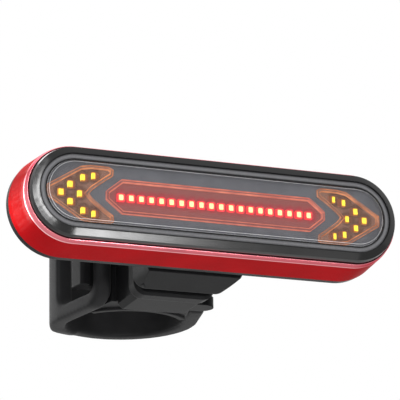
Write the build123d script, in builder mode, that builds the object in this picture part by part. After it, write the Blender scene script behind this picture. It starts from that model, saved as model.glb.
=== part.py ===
from build123d import *
from math import acos, atan2, cos, degrees, hypot, radians, sin
import os

# Bicycle turn signal light on its seat post bracket, in millimetres.
# The origin is on the seat post's axis at the middle of the strap. X runs to the right as the
# light is seen from behind the bicycle, Z is up, and the light looks along -Y. A reach is a
# distance in front of the seat post's axis, so a face at a reach lies at Y = -reach.

# Common fits.
overrun = 1.0               # how far a cutting shape runs past the face it opens
slide_gap = 0.3             # between the pieces that slide or swing on each other
screw_gap = 0.05            # between a screw's thread and the hole it holds in
nest_gap = 0.2              # between pieces that are dropped into each other

# Seat post and the bracket's depths.
post_diameter = 31.6
pad_thickness = 1.8
saddle_depth = 17.4
plate_thickness = 4.5
neck_depth = 3.5
floor_thickness = 3.6
channel_depth = 5.0
lip_thickness = 2.2
back_gap = 0.8              # between the receiver and the light's back

post_radius = post_diameter / 2
saddle_rear = post_radius + pad_thickness
saddle_front = saddle_rear + saddle_depth
plate_front = saddle_front + plate_thickness
neck_front = plate_front + neck_depth
floor_front = neck_front + floor_thickness
lip_rear = floor_front + channel_depth
receiver_front = lip_rear + lip_thickness
back_reach = receiver_front + back_gap

# The light's outline.
light_rise = 2.0            # the light's centre line above the strap's
ring_length = 100.0
ring_height = 26.2
ring_wall = 1.5
ring_depth = 11.6
ring_taper = 0.85           # how much smaller the ring's radius is at its front bevel
ring_bevel_depth = 1.9
ring_bevel = 0.4
rim_depth = 2.6             # the rear cover's rim, behind the ring
rim_inset = 0.1             # the rim is this much smaller than the ring
rim_bevel = 0.5
straight_half = (ring_length - ring_height) / 2

ring_outer = ring_height / 2
ring_inner = ring_outer - ring_wall
ring_rear = back_reach + rim_depth
ring_front = ring_rear + ring_depth
ring_shoulder = ring_outer - ring_taper

# Bezel and lens.
bezel_gap = 0.04            # the bezel is a push fit in the ring
bezel_side_rise = 1.8
bezel_side_draft = 0.45
bezel_bevel_rise = 0.85
bezel_bevel_width = 1.6
bezel_step = 0.3            # the flat band round the lens lies below the bevel's crest
bezel_crest = 0.15          # width of that crest
bezel_skirt = 6.0           # how far the bezel runs back inside the ring
bezel_wall = 2.66           # between the bezel's outside and its inside
bezel_lip = 0.7             # thickness of the lip that holds the lens
lens_ledge = 1.3            # how far the lip reaches in from the bezel's inside
lens_gap = 0.1
lens_proud = 0.24
lens_thickness = 1.8
lens_flange = 0.6
lens_edge = 0.42

bezel_outer = ring_inner - bezel_gap
bezel_cavity = bezel_outer - bezel_wall
lens_half = bezel_cavity - lens_ledge
bezel_front = ring_front + bezel_side_rise + bezel_bevel_rise
lens_front = bezel_front + lens_proud
lens_rear = lens_front - lens_thickness
flange_front = lens_rear + lens_flange
lip_inside = bezel_front - bezel_lip
nest_half = bezel_cavity - nest_gap

# Mask plate, light guides and lamps.
mask_rim = 0.8
mask_recess = 0.9           # from the mask's rim down to its floor
mask_floor = 0.97           # the floor lies on the lamp board
guide_seat = 0.5            # width of the mask's floor under a guide's edge
board_thickness = 1.2
lamp_side = 1.8
lamp_height = 0.85
red_count = 20
guide_sheet = 0.3
guide_rim_height = 0.68
guide_rim = 0.8
arrow_tip_margin = 1.5      # from an arrow's tip to the mask's outside
arrow_length = 18.2
arrow_margin = 1.4          # above and below an arrow
bar_reach_out = 3.1         # how far the bar's tip runs past the arrow's tail
bar_margin = 4.25           # above and below the bar
bar_shoulder = 4.1          # length of the bar's tapered ends
bar_tip_half = 1.1
bar_lamp_margin = 4.1       # from the bar's tip to the middle of its last lamp

mask_front = lens_rear
floor_reach = mask_front - mask_recess
board_front = floor_reach - mask_floor
board_rear = board_front - board_thickness
arrow_half = nest_half - arrow_margin
arrow_tail = straight_half + nest_half - arrow_tip_margin - arrow_length
bar_half_height = nest_half - bar_margin
bar_half_length = arrow_tail + bar_reach_out
red_pitch = 2 * (bar_half_length - bar_lamp_margin) / (red_count - 1)

# Outline of the upper half of an arrow that points to the right, as shares of its length from
# the tail and of its half height.
arrow_outline_shares = ((1.0, 0.0), (1.0, 0.19), (0.52, 0.94), (0.38, 1.0), (0.13, 1.0),
                        (0.06, 0.91), (0.07, 0.68), (0.16, 0.53), (0.35, 0.17), (0.41, 0.0))
# Places of an arrow's lamps, in the same shares.
arrow_lamp_shares = ((0.775, 0.0), (0.639, 0.30), (0.456, 0.575), (0.302, 0.66), (0.503, 0.0),
                     (0.639, -0.30), (0.456, -0.575), (0.302, -0.66))

# Rear cover, its screws and its seal.
cover_wall = 2.0
seal_thickness = 0.6
seal_inset = 0.25
locating_wall = 1.2
screw_radius = 0.8
screw_head_radius = 1.4
screw_head_height = 1.2
screw_head_sink = 1.6
screw_bite = 4.0            # length of thread inside the bezel's wall
screw_socket = 0.7
screw_socket_depth = 0.6

skirt_rear = ring_front - bezel_skirt
shoulder_front = skirt_rear - seal_thickness
cavity_half = nest_half - locating_wall
head_seat = back_reach + screw_head_sink
screw_line = (bezel_cavity + bezel_outer) / 2   # the screws stand in the middle of the wall

# Tongue and receiver.
tongue_half = 8.2
tongue_neck_half = 5.4
tongue_height = 20.0
tongue_edge = 0.8
notch_depth = 0.5
notch_height = 1.6
receiver_half = 12.9
receiver_half_height = 13.0
receiver_corner = 3.6
receiver_top_round = 2.0
receiver_slope = 1.6        # how much the underside rises towards the front
receiver_stop = 3.2         # closed foot under the tongue
plate_half = 11.1
plate_half_height = 13.5
plate_corner = 3.4
plate_edge = 0.7
receiver_neck_half = 8.8
receiver_neck_low = 1.3     # above the receiver's underside
receiver_neck_top = 4.4
finger_half = 3.4
finger_slit = 0.9
finger_root = 5.2
finger_thickness = 2.0
finger_rise = 3.0
finger_bump = 0.2
finger_bump_height = 1.0
finger_pad = 1.4

tongue_foot = -receiver_half_height + receiver_stop + slide_gap
notch_place = finger_root + finger_pad * 2

# Receiver screws and nuts.
bolt_radius = 1.5
bolt_head_radius = 2.75
bolt_head_height = 1.8
bolt_head_sink = 2.2
bolt_low = -7.5
bolt_high = 1.0
bolt_socket = 1.25
bolt_socket_depth = 1.1
nut_flats = 5.5
nut_thickness = 2.4
nut_seat = 8.0              # plastic left in front of a nut
bolt_tip = 0.6              # bolt standing out behind its nut

nut_front = saddle_front - nut_seat
bolt_seat = floor_front - bolt_head_sink
bolt_end = nut_front - nut_thickness - bolt_tip

# Saddle and pad.
block_depth = 12.0
block_half = 9.8
block_half_height = 13.2
block_edge = 1.3
wing_half_height = 11.0
pad_half_height = 11.6
pad_sweep = 100.0           # degrees of the post that the pad covers
pad_middle = -90.0          # direction from the post to the light, in degrees
wing_gap = 0.4              # between the saddle's flank and the strap

# Strap, hook and pin.
strap_thickness = 4.4
strap_end_side = 13.7       # centre of the strap's front end, from the middle
strap_end_reach = 22.5
band_half = 10.6
loop_half = 12.2
loop_corner = 7.5
loop_bar = 3.6
loop_rear = 9.0             # where the loop's side starts to narrow, behind the post axis
loop_fade = 18.5
window_half = 8.3
window_length = 18.0
window_corner = 3.0
strap_split = 9.0           # plane between the loop's side and the plain side
hook_half = 6.9
hook_start = 2.3            # along the strap, from its front end
hook_width = 4.2
hook_root = 2.4
hook_rise = 1.9
hook_cap = 2.4
hook_overhang = 1.0
hook_round = 1.1
eye_radius = 3.3
eye_half = 8.0
eye_fade = 3.4
pin_radius = 1.4
pin_gap = 0.05
ear_thickness = 2.8
ear_gap = 0.35
pin_sink = 0.3

strap_middle = post_radius + strap_thickness / 2
strap_outer = post_radius + strap_thickness
strap_end_distance = hypot(strap_end_side, strap_end_reach)
lean = atan2(strap_end_reach, strap_end_side) - acos(strap_middle / strap_end_distance)
ear_top = eye_half + ear_gap + ear_thickness
pin_length = 2 * (ear_top - pin_sink)

# Charging port, button and inner parts.
port_from_end = 9.9         # from the start of the light's round end
port_length = 8.9
port_height = 3.3
port_wall = 0.3
port_hole_gap = 0.3
port_tongue_length = 6.4
port_tongue = 0.7
port_tongue_sink = 1.2      # from the socket's mouth to its tongue
port_end = 0.3              # socket's mouth below the flap's recess
flap_length = 14.0
flap_height = 7.6
flap_thickness = 1.0
flap_corner = 1.6
flap_plug = 1.0
flap_plug_gap = 0.35
flap_recess = 1.1
flap_lift = 2.2             # finger notch at the flap's free end
button_from_end = 9.9
button_radius = 3.7
button_flange = 4.6
button_flange_height = 0.8
button_proud = 0.9
button_edge = 0.45
button_travel = 0.6
switch_side = 6.0
switch_height = 3.5
switch_stem_radius = 1.7
battery_side_gap = 7.5      # from the charging socket to the battery
battery_margin = 1.2        # above and below the battery
battery_thickness = 5.0
battery_edge = 1.2
foam_thickness = 1.2
foam_share = 0.8
radio_from_end = 4.25       # from halfway into the hollow's round end
radio_length = 8.0
radio_margin = 2.5          # above and below the radio module
radio_board = 0.8
radio_can = 1.5
radio_can_share = 0.8
antenna_width = 1.0
antenna_margin = 2.0        # above and below the antenna

port_place = straight_half - port_from_end
button_place = straight_half - button_from_end
radio_place = straight_half + cavity_half / 2 - radio_from_end
radio_height = 2 * (cavity_half - radio_margin)
antenna_length = 2 * (cavity_half - antenna_margin)
battery_height = 2 * (cavity_half - battery_margin)
battery_length = 2 * (port_place - port_length / 2 - battery_side_gap)
cavity_floor = back_reach + cover_wall
recess_floor = back_reach + flap_recess
button_flange_reach = cavity_floor + slide_gap
battery_reach = cavity_floor + foam_thickness


def face_plane(reach, rise=light_rise, side=0):
    """Plane across the depth, X to the right and Z up, looking to the front."""
    return Plane(origin=(side, -reach, rise), x_dir=(1, 0, 0), z_dir=(0, -1, 0))


def pill(half_height):
    """Outline with round ends that is shared by every piece of the light."""
    return SlotOverall(2 * (straight_half + half_height), 2 * half_height)


def beside_strap(along, out):
    """Point in plan at the left flank: along the strap from its front end, and out from its
    inner face."""
    tangent = (sin(lean), -cos(lean))
    normal = (cos(lean), sin(lean))
    inner_side = strap_end_side - strap_thickness / 2 * normal[0]
    inner_reach = strap_end_reach - strap_thickness / 2 * normal[1]
    side = inner_side + along * tangent[0] + out * normal[0]
    reach = inner_reach + along * tangent[1] + out * normal[1]
    return (-side, -reach)


def mirrored(point):
    return (-point[0], point[1])


def arrow_points(direction):
    upper = [(direction * (arrow_tail + arrow_length * a), arrow_half * h)
             for a, h in arrow_outline_shares]
    lower = [(x, -z) for x, z in reversed(upper[1:-1])]
    return upper + lower


def bar_points():
    shoulder = bar_half_length - bar_shoulder
    quarter = [(bar_half_length, bar_tip_half), (shoulder, bar_half_height)]
    half = quarter + [(-x, z) for x, z in reversed(quarter)]
    return half + [(x, -z) for x, z in reversed(half)]


def red_places():
    first = -red_pitch * (red_count - 1) / 2
    return [(first + red_pitch * i, 0) for i in range(red_count)]


def amber_places(direction):
    return [(direction * (arrow_tail + arrow_length * a), arrow_half * h)
            for a, h in arrow_lamp_shares]


screw_places = [(-straight_half - screw_line, 0), (straight_half + screw_line, 0)]
bolt_places = [(0, bolt_low), (0, bolt_high)]

# Red ring round the light, a little narrower at its front, with a bevelled front edge.
with BuildPart() as trim_ring:
    with BuildSketch(face_plane(ring_rear)):
        pill(ring_outer)
    with BuildSketch(face_plane(ring_front - ring_bevel_depth)):
        pill(ring_shoulder)
    loft(ruled=True)
    with BuildSketch(face_plane(ring_front - ring_bevel_depth)):
        pill(ring_shoulder)
    with BuildSketch(face_plane(ring_front)):
        pill(ring_shoulder - ring_bevel)
    loft(ruled=True)
    with BuildSketch(face_plane(ring_rear)):
        pill(ring_inner)
    extrude(amount=ring_depth, mode=Mode.SUBTRACT)

# Black front bezel: drafted side, bevel, lip over the lens, skirt with the screw holes.
with BuildPart() as front_bezel:
    with BuildSketch(face_plane(ring_front)):
        pill(bezel_outer)
    with BuildSketch(face_plane(ring_front + bezel_side_rise)):
        pill(bezel_outer - bezel_side_draft)
    loft(ruled=True)
    with BuildSketch(face_plane(ring_front + bezel_side_rise)):
        pill(bezel_outer - bezel_side_draft)
    with BuildSketch(face_plane(bezel_front)):
        pill(bezel_outer - bezel_side_draft - bezel_bevel_width)
    loft(ruled=True)
    with BuildSketch(face_plane(skirt_rear)):
        pill(bezel_outer)
    extrude(amount=bezel_skirt)
    with BuildSketch(face_plane(skirt_rear)):
        pill(bezel_cavity)
    extrude(amount=lip_inside - skirt_rear, mode=Mode.SUBTRACT)
    with BuildSketch(face_plane(lip_inside)):
        pill(lens_half + lens_gap)
    extrude(amount=bezel_front - lip_inside, mode=Mode.SUBTRACT)
    with BuildSketch(face_plane(bezel_front - bezel_step)):
        pill(bezel_outer - bezel_side_draft - bezel_bevel_width - bezel_crest)
    extrude(amount=bezel_step, mode=Mode.SUBTRACT)
    with BuildSketch(face_plane(skirt_rear)):
        with Locations(*screw_places):
            Circle(screw_radius + screw_gap)
    extrude(amount=screw_bite + slide_gap, mode=Mode.SUBTRACT)

# Smoked lens, and the seal under the bezel's lip.
with BuildPart() as front_lens:
    with BuildSketch(face_plane(lens_rear)):
        pill(nest_half)
    extrude(amount=lens_flange)
    with BuildSketch(face_plane(lens_rear)):
        pill(lens_half)
    extrude(amount=lens_thickness)
    chamfer(front_lens.faces().sort_by(Axis.Y)[0].outer_wire().edges(), lens_edge)

with BuildPart() as lens_seal:
    with BuildSketch(face_plane(flange_front)):
        pill(nest_half)
        with BuildSketch(face_plane(flange_front), mode=Mode.PRIVATE) as seal_opening:
            pill(lens_half + lens_gap)
        add(seal_opening.sketch_local, mode=Mode.SUBTRACT)
    extrude(amount=lip_inside - flange_front)

# Dark mask plate: rim, floor, and an opening behind each light guide.
with BuildPart() as lamp_mask:
    with BuildSketch(face_plane(board_front)):
        pill(nest_half)
    extrude(amount=mask_front - board_front)
    with BuildSketch(face_plane(floor_reach)):
        pill(nest_half - mask_rim)
    extrude(amount=mask_recess, mode=Mode.SUBTRACT)
    for guide_outline in (bar_points(), arrow_points(-1), arrow_points(1)):
        with BuildSketch(face_plane(board_front)):
            with BuildLine():
                Polyline(*guide_outline, close=True)
            make_face()
            offset(amount=-guide_seat, kind=Kind.INTERSECTION, mode=Mode.REPLACE)
        extrude(amount=mask_floor, mode=Mode.SUBTRACT)

# Clear light guides: a thin sheet with a raised rim.
with BuildPart() as bar_guide:
    with BuildSketch(face_plane(floor_reach)):
        with BuildLine():
            Polyline(*bar_points(), close=True)
        make_face()
    extrude(amount=guide_rim_height)
    with BuildSketch(face_plane(floor_reach + guide_sheet)):
        with BuildLine():
            Polyline(*bar_points(), close=True)
        make_face()
        offset(amount=-guide_rim, kind=Kind.INTERSECTION, mode=Mode.REPLACE)
    extrude(amount=guide_rim_height, mode=Mode.SUBTRACT)
bar_guide.part.label = "bar_guide"

arrow_guides = {}
for guide_name, pointing in (("left_arrow_guide", -1), ("right_arrow_guide", 1)):
    with BuildPart() as arrow_guide:
        with BuildSketch(face_plane(floor_reach)):
            with BuildLine():
                Polyline(*arrow_points(pointing), close=True)
            make_face()
        extrude(amount=guide_rim_height)
        with BuildSketch(face_plane(floor_reach + guide_sheet)):
            with BuildLine():
                Polyline(*arrow_points(pointing), close=True)
            make_face()
            offset(amount=-guide_rim, kind=Kind.INTERSECTION, mode=Mode.REPLACE)
        extrude(amount=guide_rim_height, mode=Mode.SUBTRACT)
    arrow_guides[guide_name] = arrow_guide.part

# Lamp board and its lamps.
with BuildPart() as lamp_board:
    with BuildSketch(face_plane(board_rear)):
        pill(nest_half)
    extrude(amount=board_thickness)

lamp_groups = {}
for lamp_name, places in (("red_lamps", red_places()), ("left_amber_lamps", amber_places(-1)),
                          ("right_amber_lamps", amber_places(1))):
    with BuildPart() as lamps:
        with BuildSketch(face_plane(board_front)):
            with Locations(*places):
                Rectangle(lamp_side, lamp_side)
        extrude(amount=lamp_height)
    lamp_groups[lamp_name] = lamps.part

# Seal between the bezel's skirt and the rear cover, notched round the screws.
seal_outer = bezel_outer - seal_inset
notch_inside = screw_line - screw_radius - nest_gap
with BuildPart() as cover_seal:
    with BuildSketch(face_plane(shoulder_front)):
        pill(seal_outer)
        with BuildSketch(mode=Mode.PRIVATE) as seal_inside:
            pill(bezel_cavity)
        add(seal_inside.sketch_local, mode=Mode.SUBTRACT)
        for notch_side in (-1, 1):
            with Locations((notch_side * (straight_half + (notch_inside + bezel_outer) / 2), 0)):
                Rectangle(bezel_outer - notch_inside, (screw_radius + nest_gap) * 2,
                          mode=Mode.SUBTRACT)
    extrude(amount=seal_thickness)

# Rear cover: rim, wall, hollow, port, button hole, and the tongue for the bracket.
with BuildPart() as rear_cover:
    with BuildSketch(face_plane(back_reach)):
        pill(ring_outer - rim_inset)
    extrude(amount=rim_depth)
    chamfer(rear_cover.faces().sort_by(Axis.Y)[-1].outer_wire().edges(), rim_bevel)
    with BuildSketch(face_plane(ring_rear)):
        pill(bezel_outer)
    extrude(amount=shoulder_front - ring_rear)
    with BuildSketch(face_plane(shoulder_front)):
        pill(nest_half)
    extrude(amount=board_rear - shoulder_front)
    with BuildSketch(face_plane(cavity_floor)):
        pill(cavity_half)
    extrude(amount=board_rear - cavity_floor, mode=Mode.SUBTRACT)
    with BuildSketch(face_plane(back_reach)):
        with Locations(*screw_places):
            Circle(screw_radius + nest_gap)
    extrude(amount=shoulder_front - back_reach, mode=Mode.SUBTRACT)
    with BuildSketch(face_plane(back_reach)):
        with Locations(*screw_places):
            Circle(screw_head_radius + nest_gap)
    extrude(amount=screw_head_sink, mode=Mode.SUBTRACT)
    with BuildSketch(face_plane(back_reach)) as recess_outline:
        with Locations((-port_place, 0)):
            Rectangle(flap_length + slide_gap * 2, flap_height + slide_gap * 2)
        fillet(recess_outline.vertices().sort_by(Axis.X)[-2:], flap_corner)
        with Locations((-port_place + flap_length / 2 + slide_gap, 0)):
            Circle(flap_lift)
    extrude(amount=flap_recess, mode=Mode.SUBTRACT)
    with BuildSketch(face_plane(back_reach)):
        with Locations((-port_place, 0)):
            SlotOverall(port_length + port_hole_gap * 2, port_height + port_hole_gap * 2)
    extrude(amount=cover_wall, mode=Mode.SUBTRACT)
    with BuildSketch(face_plane(back_reach)):
        with Locations((button_place, 0)):
            Circle(button_radius + slide_gap)
    extrude(amount=cover_wall, mode=Mode.SUBTRACT)
    with BuildSketch(face_plane(lip_rear - slide_gap, 0)):
        with Locations((0, tongue_foot + tongue_height / 2)):
            Rectangle(tongue_neck_half * 2, tongue_height)
    extrude(amount=back_reach - lip_rear + slide_gap)
    with BuildSketch(face_plane(floor_front + slide_gap, 0)):
        with Locations((0, tongue_foot + tongue_height / 2)):
            Rectangle(tongue_half * 2, tongue_height)
    extrude(amount=channel_depth - slide_gap * 2)
    tongue_rear = rear_cover.faces().sort_by(Axis.Y)[-1]
    chamfer(tongue_rear.edges(), tongue_edge)
    with BuildSketch(face_plane(floor_front + slide_gap, 0)):
        with Locations((0, notch_place)):
            Rectangle(finger_half * 2 + slide_gap, notch_height)
    extrude(amount=notch_depth, mode=Mode.SUBTRACT)

with BuildPart() as cover_screws:
    with BuildSketch(face_plane(head_seat - screw_head_height)):
        with Locations(*screw_places):
            Circle(screw_head_radius)
    extrude(amount=screw_head_height)
    with BuildSketch(face_plane(head_seat)):
        with Locations(*screw_places):
            Circle(screw_radius)
    extrude(amount=skirt_rear + screw_bite - head_seat)
    with BuildSketch(face_plane(head_seat - screw_head_height)):
        with Locations(*screw_places):
            RegularPolygon(screw_socket, 6)
    extrude(amount=screw_socket_depth, mode=Mode.SUBTRACT)

# Battery with its foam, radio module with its antenna.
with BuildPart() as battery:
    with BuildSketch(face_plane(battery_reach)):
        Rectangle(battery_length, battery_height)
    extrude(amount=battery_thickness)
    chamfer(battery.edges().filter_by(Axis.X), battery_edge)

with BuildPart() as battery_foam:
    with BuildSketch(face_plane(cavity_floor)):
        Rectangle(battery_length * foam_share, battery_height * foam_share)
    extrude(amount=foam_thickness)

with BuildPart() as radio_module:
    with BuildSketch(face_plane(board_rear - radio_board, side=radio_place)):
        Rectangle(radio_length, radio_height)
    extrude(amount=radio_board)
    with BuildSketch(face_plane(board_rear - radio_board - radio_can, side=radio_place)):
        Rectangle(radio_length * radio_can_share, radio_height * radio_can_share)
    extrude(amount=radio_can)

with BuildPart() as antenna:
    with BuildSketch(face_plane(board_rear - radio_board,
                                side=radio_place + (radio_length + antenna_width) / 2)):
        Rectangle(antenna_width, antenna_length)
    extrude(amount=radio_board)

# Charging socket and its hinged flap.
with BuildPart() as charging_socket:
    with BuildSketch(face_plane(recess_floor + port_end, side=-port_place)):
        SlotOverall(port_length, port_height)
    extrude(amount=board_rear - recess_floor - port_end)
    with BuildSketch(face_plane(recess_floor + port_end, side=-port_place)):
        SlotOverall(port_length - port_wall * 2, port_height - port_wall * 2)
    extrude(amount=(board_rear - recess_floor) / 2, mode=Mode.SUBTRACT)
    with BuildSketch(face_plane(recess_floor + port_end + port_tongue_sink, side=-port_place)):
        Rectangle(port_tongue_length, port_tongue)
    extrude(amount=(board_rear - recess_floor) / 2 - port_tongue_sink)

flap_rear = back_reach + flap_recess - flap_thickness
flap_hinge_side = -port_place - flap_length / 2 + flap_thickness / 2
with BuildPart() as port_flap:
    with BuildSketch(face_plane(flap_rear)) as flap_outline:
        with Locations((-port_place + flap_thickness / 4, 0)):
            Rectangle(flap_length - flap_thickness / 2, flap_height)
        fillet(flap_outline.vertices().sort_by(Axis.X)[-2:], flap_corner)
    extrude(amount=flap_thickness)
    with BuildSketch(Plane.XY.offset(light_rise - flap_height / 2)):
        with Locations((flap_hinge_side, -flap_rear - flap_thickness / 2)):
            Circle(flap_thickness / 2)
    extrude(amount=flap_height)
    with BuildSketch(face_plane(flap_rear + flap_thickness, side=-port_place)):
        SlotOverall(port_length - (port_wall + flap_plug_gap) * 2,
                    port_height - (port_wall + flap_plug_gap) * 2)
    extrude(amount=flap_plug)

# Power button and the switch under it.
with BuildPart() as power_button:
    with BuildSketch(face_plane(back_reach - button_proud, side=button_place)):
        Circle(button_radius)
    extrude(amount=button_flange_reach - back_reach + button_proud)
    chamfer(power_button.faces().sort_by(Axis.Y)[-1].edges(), button_edge)
    with BuildSketch(face_plane(button_flange_reach, side=button_place)):
        Circle(button_flange)
    extrude(amount=button_flange_height)

stem_end = button_flange_reach + button_flange_height + button_travel + slide_gap
with BuildPart() as button_switch:
    with BuildSketch(face_plane(board_rear - switch_height, side=button_place)):
        Rectangle(switch_side, switch_side)
    extrude(amount=switch_height)
    with BuildSketch(face_plane(stem_end, side=button_place)):
        Circle(switch_stem_radius)
    extrude(amount=board_rear - switch_height - stem_end)

# Receiver: channel for the tongue, closed foot, spring finger, neck and base plate.
receiver_depth = receiver_front - neck_front
with BuildPart() as receiver:
    with BuildSketch(face_plane(saddle_front, 0)):
        RectangleRounded(plate_half * 2, plate_half_height * 2, plate_corner)
    extrude(amount=plate_thickness)
    chamfer(receiver.faces().sort_by(Axis.Y)[0].outer_wire().edges(), plate_edge)
    with BuildSketch(face_plane(neck_front, 0)) as receiver_outline:
        Rectangle(receiver_half * 2, receiver_half_height * 2)
        fillet(receiver_outline.vertices().sort_by(Axis.Y)[:2], receiver_corner)
        fillet(receiver_outline.vertices().sort_by(Axis.Y)[-2:], receiver_top_round)
    extrude(amount=receiver_depth)
    with BuildSketch(Plane.YZ.offset(-receiver_half - overrun)):
        with BuildLine():
            Polyline((-neck_front, -receiver_half_height),
                     (-receiver_front - overrun, -receiver_half_height),
                     (-receiver_front - overrun, -receiver_half_height + receiver_slope),
                     (-receiver_front, -receiver_half_height + receiver_slope), close=True)
        make_face()
    extrude(amount=(receiver_half + overrun) * 2, mode=Mode.SUBTRACT)
    channel_foot = -receiver_half_height + receiver_stop
    channel_height = receiver_half_height + overrun - channel_foot
    with BuildSketch(face_plane(floor_front, 0)):
        with Locations((0, channel_foot + channel_height / 2)):
            Rectangle((tongue_half + slide_gap) * 2, channel_height)
    extrude(amount=channel_depth, mode=Mode.SUBTRACT)
    with BuildSketch(face_plane(lip_rear, 0)):
        with Locations((0, channel_foot + channel_height / 2)):
            Rectangle((tongue_neck_half + slide_gap) * 2, channel_height)
    extrude(amount=lip_thickness, mode=Mode.SUBTRACT)
    neck_low = -receiver_half_height + receiver_neck_low
    with BuildSketch(face_plane(plate_front, 0)):
        with Locations((0, (neck_low + receiver_neck_top) / 2)):
            Rectangle(receiver_neck_half * 2, receiver_neck_top - neck_low)
    extrude(amount=neck_depth)
    # the spring finger is thinned from behind and stands free between two slits
    with BuildSketch(face_plane(neck_front, 0)):
        with Locations((0, (finger_root + receiver_half_height + overrun) / 2)):
            Rectangle(finger_half * 2, receiver_half_height + overrun - finger_root)
    extrude(amount=floor_thickness - finger_thickness, mode=Mode.SUBTRACT)
    with BuildSketch(face_plane(neck_front, 0)):
        for slit_side in (-1, 1):
            with Locations((slit_side * (finger_half + finger_slit / 2),
                            (finger_root + receiver_half_height + overrun) / 2)):
                Rectangle(finger_slit, receiver_half_height + overrun - finger_root)
    extrude(amount=floor_thickness, mode=Mode.SUBTRACT)
    with BuildSketch(face_plane(floor_front - finger_thickness, 0)):
        with Locations((0, receiver_half_height + finger_rise / 2)):
            Rectangle(finger_half * 2, finger_rise)
    extrude(amount=finger_thickness)
    with BuildSketch(face_plane(floor_front - finger_thickness - finger_pad, 0)):
        with Locations((0, receiver_half_height + finger_rise - finger_pad / 2)):
            Rectangle(finger_half * 2, finger_pad)
    extrude(amount=finger_pad)
    with BuildSketch(face_plane(floor_front, 0)):
        with Locations((0, notch_place)):
            Rectangle(finger_half * 2 - slide_gap, finger_bump_height)
    extrude(amount=finger_bump)
    with BuildSketch(face_plane(saddle_front, 0)):
        with Locations(*bolt_places):
            Circle(bolt_radius + nest_gap)
    extrude(amount=floor_front - saddle_front, mode=Mode.SUBTRACT)
    with BuildSketch(face_plane(bolt_seat, 0)):
        with Locations(*bolt_places):
            Circle(bolt_head_radius + nest_gap)
    extrude(amount=bolt_head_sink, mode=Mode.SUBTRACT)

with BuildPart() as receiver_bolts:
    with BuildSketch(face_plane(bolt_end, 0)):
        with Locations(*bolt_places):
            Circle(bolt_radius)
    extrude(amount=bolt_seat - bolt_end)
    with BuildSketch(face_plane(bolt_seat, 0)):
        with Locations(*bolt_places):
            Circle(bolt_head_radius)
    extrude(amount=bolt_head_height)
    with BuildSketch(face_plane(bolt_seat + bolt_head_height - bolt_socket_depth, 0)):
        with Locations(*bolt_places):
            RegularPolygon(bolt_socket, 6)
    extrude(amount=bolt_socket_depth, mode=Mode.SUBTRACT)

with BuildPart() as receiver_nuts:
    with BuildSketch(face_plane(nut_front - nut_thickness, 0)):
        with Locations(*bolt_places):
            RegularPolygon(nut_flats / 2, 6, major_radius=False)
    extrude(amount=nut_thickness)
    with BuildSketch(face_plane(nut_front - nut_thickness, 0)):
        with Locations(*bolt_places):
            Circle(bolt_radius + screw_gap)
    extrude(amount=nut_thickness, mode=Mode.SUBTRACT)

# Saddle: front block, flanks beside the strap, hook on the left, ears on the right.
pad_edge_reach = saddle_rear * cos(radians(pad_sweep / 2))
flank_rear = strap_end_reach - pad_edge_reach
eye_centre = mirrored(beside_strap(0, strap_thickness / 2))
with BuildPart() as saddle:
    with BuildSketch(Plane.XY.offset(-wing_half_height)):
        with BuildLine():
            left = [beside_strap(0, -wing_gap), beside_strap(flank_rear, -wing_gap)]
            Polyline((-block_half, -saddle_front), (-block_half, left[0][1]), left[0], left[1],
                     mirrored(left[1]), mirrored(left[0]), (block_half, left[0][1]),
                     (block_half, -saddle_front), close=True)
        make_face()
    extrude(amount=wing_half_height * 2)
    with BuildSketch(face_plane(saddle_front - block_depth, 0)) as block_outline:
        Rectangle(block_half * 2, block_half_height * 2)
        chamfer(block_outline.vertices(), block_edge)
    extrude(amount=block_depth)
    with BuildSketch(Plane.XY.offset(-hook_half)) as hook_plan:
        with BuildLine():
            Polyline(beside_strap(hook_start, -hook_root),
                     beside_strap(hook_start, strap_thickness + hook_rise / 2),
                     beside_strap(hook_start - hook_overhang, strap_thickness + hook_rise / 2),
                     beside_strap(hook_start - hook_overhang,
                                  strap_thickness + hook_rise / 2 + hook_cap),
                     beside_strap(hook_start + hook_width + hook_overhang,
                                  strap_thickness + hook_rise / 2 + hook_cap),
                     beside_strap(hook_start + hook_width + hook_overhang,
                                  strap_thickness + hook_rise / 2),
                     beside_strap(hook_start + hook_width, strap_thickness + hook_rise / 2),
                     beside_strap(hook_start + hook_width, -hook_root), close=True)
        make_face()
        fillet(hook_plan.vertices().sort_by(Axis.X)[:2], hook_round)
    extrude(amount=hook_half * 2)
    for ear_foot in (-ear_top, ear_top - ear_thickness):
        with BuildSketch(Plane.XY.offset(ear_foot)):
            with Locations(eye_centre):
                Circle(eye_radius)
            with BuildLine():
                Polyline((0, eye_centre[1] - eye_radius), (eye_centre[0], eye_centre[1] - eye_radius),
                         (eye_centre[0], eye_centre[1] + eye_radius),
                         (0, eye_centre[1] + eye_radius), close=True)
            make_face()
        extrude(amount=ear_thickness)
    with BuildSketch(Plane.XY.offset(-eye_half - ear_gap)):
        with Locations(eye_centre):
            Circle(eye_radius + ear_gap)
    extrude(amount=(eye_half + ear_gap) * 2, mode=Mode.SUBTRACT)
    with BuildSketch(Plane.XY.offset(-pin_length / 2)):
        with Locations(eye_centre):
            Circle(pin_radius + pin_gap)
    extrude(amount=pin_length, mode=Mode.SUBTRACT)
    with BuildSketch(Plane.XY.offset(-block_half_height)):
        Circle(saddle_rear)
    extrude(amount=block_half_height * 2, mode=Mode.SUBTRACT)
    with BuildSketch(face_plane(0, 0)):
        with Locations(*bolt_places):
            RegularPolygon(nut_flats / 2 + screw_gap, 6, major_radius=False)
    extrude(amount=nut_front, mode=Mode.SUBTRACT)
    with BuildSketch(face_plane(0, 0)):
        with Locations(*bolt_places):
            Circle(bolt_radius + nest_gap)
    extrude(amount=saddle_front, mode=Mode.SUBTRACT)

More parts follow.
